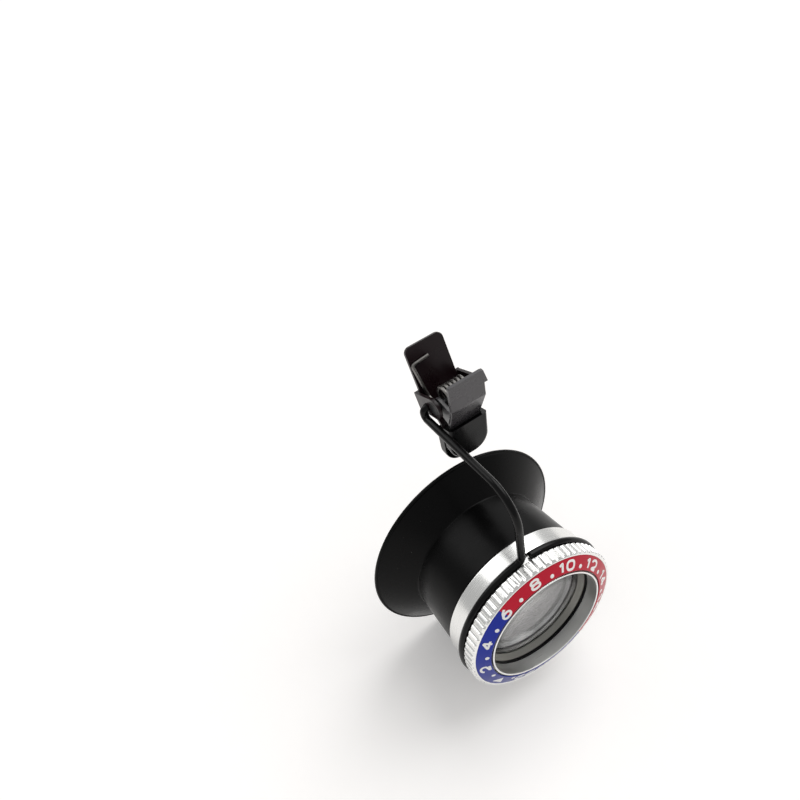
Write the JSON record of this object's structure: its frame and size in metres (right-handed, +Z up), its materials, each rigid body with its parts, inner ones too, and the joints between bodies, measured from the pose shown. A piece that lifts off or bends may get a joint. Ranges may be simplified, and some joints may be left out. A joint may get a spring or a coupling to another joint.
{
  "type": "clip-on eyeglass loupe",
  "caption": "Magnifying loupe with a turning 24 hour bezel ring, held in the open ring of a flip-up wire arm on a small spring clip that grips a spectacle frame.",
  "frame": {"origin": "middle of the closed jaws, half way across the clip's width and on the plane where the two rubber boots meet", "axes": "+X along the clip's hinge, +Y back towards the spectacles and the eye, +Z up as worn; the loupe's axis is parallel to Y, below the clip and to its -X side"},
  "size_m": [0.0391, 0.036, 0.0586],
  "materials": {
    "clip_black": "gloss black paint on sheet steel",
    "boot_rubber": "smooth dipped black rubber",
    "rivet_black": "black",
    "spring_black": "blackened spring wire",
    "arm_wire": "black coated spring wire",
    "head_aluminium": "turned and brushed, clear anodised",
    "bezel_aluminium": "coin edge, satin",
    "scale_insert": "two-colour anodised insert with pale numerals",
    "inner_dark": "dark anodised",
    "lens_glass": "polished and coated",
    "eyecup_plastic": "satin black moulding",
    "snap_steel": "spring wire",
    "gasket_plastic": "slippery sheet plastic"
  },
  "bodies": {
    "clip_frame": {"clip_rear_lever": "clip_black", "rear_jaw_boot": "boot_rubber", "clip_hinge_rivet": "rivet_black", "clip_spring": "spring_black"},
    "front_lever": {"clip_front_lever": "clip_black", "front_jaw_boot": "boot_rubber"},
    "arm": {"wire_arm": "arm_wire"},
    "loupe": {"head_housing": "head_aluminium", "front_wire_clip": "spring_black", "lens_seat_ring": "inner_dark", "front_lens": "lens_glass", "lens_spacer": "inner_dark", "rear_lens": "lens_glass", "spigot_seal": "boot_rubber", "eyecup": "eyecup_plastic"},
    "bezel": {"bezel_ring": "bezel_aluminium", "bezel_insert": "scale_insert", "bezel_snap_ring": "snap_steel", "bezel_gasket": "gasket_plastic"}
  },
  "joints": [
    {"name": "jaw_hinge", "type": "hinge", "parent": "clip_frame", "child": "front_lever", "pos_m": [0, 0.0006, 0.0084], "axis": [-1, 0, 0], "range_deg": [0, 35], "stiffness_Nm_per_rad": 0.02, "deforming": ["clip_spring"]},
    {"name": "arm_flip", "type": "hinge", "parent": "clip_frame", "child": "arm", "pos_m": [0, 0.0026, 0.0075], "axis": [-1, 0, 0], "range_deg": [0, 110]},
    {"name": "loupe_turn", "type": "hinge", "parent": "arm", "child": "loupe", "pos_m": [-0.00465, -0.0254, -0.0235], "axis": [0, 1, 0], "continuous": true},
    {"name": "bezel_turn", "type": "hinge", "parent": "loupe", "child": "bezel", "pos_m": [-0.00465, -0.0254, -0.0235], "axis": [0, 1, 0], "continuous": true}
  ]
}
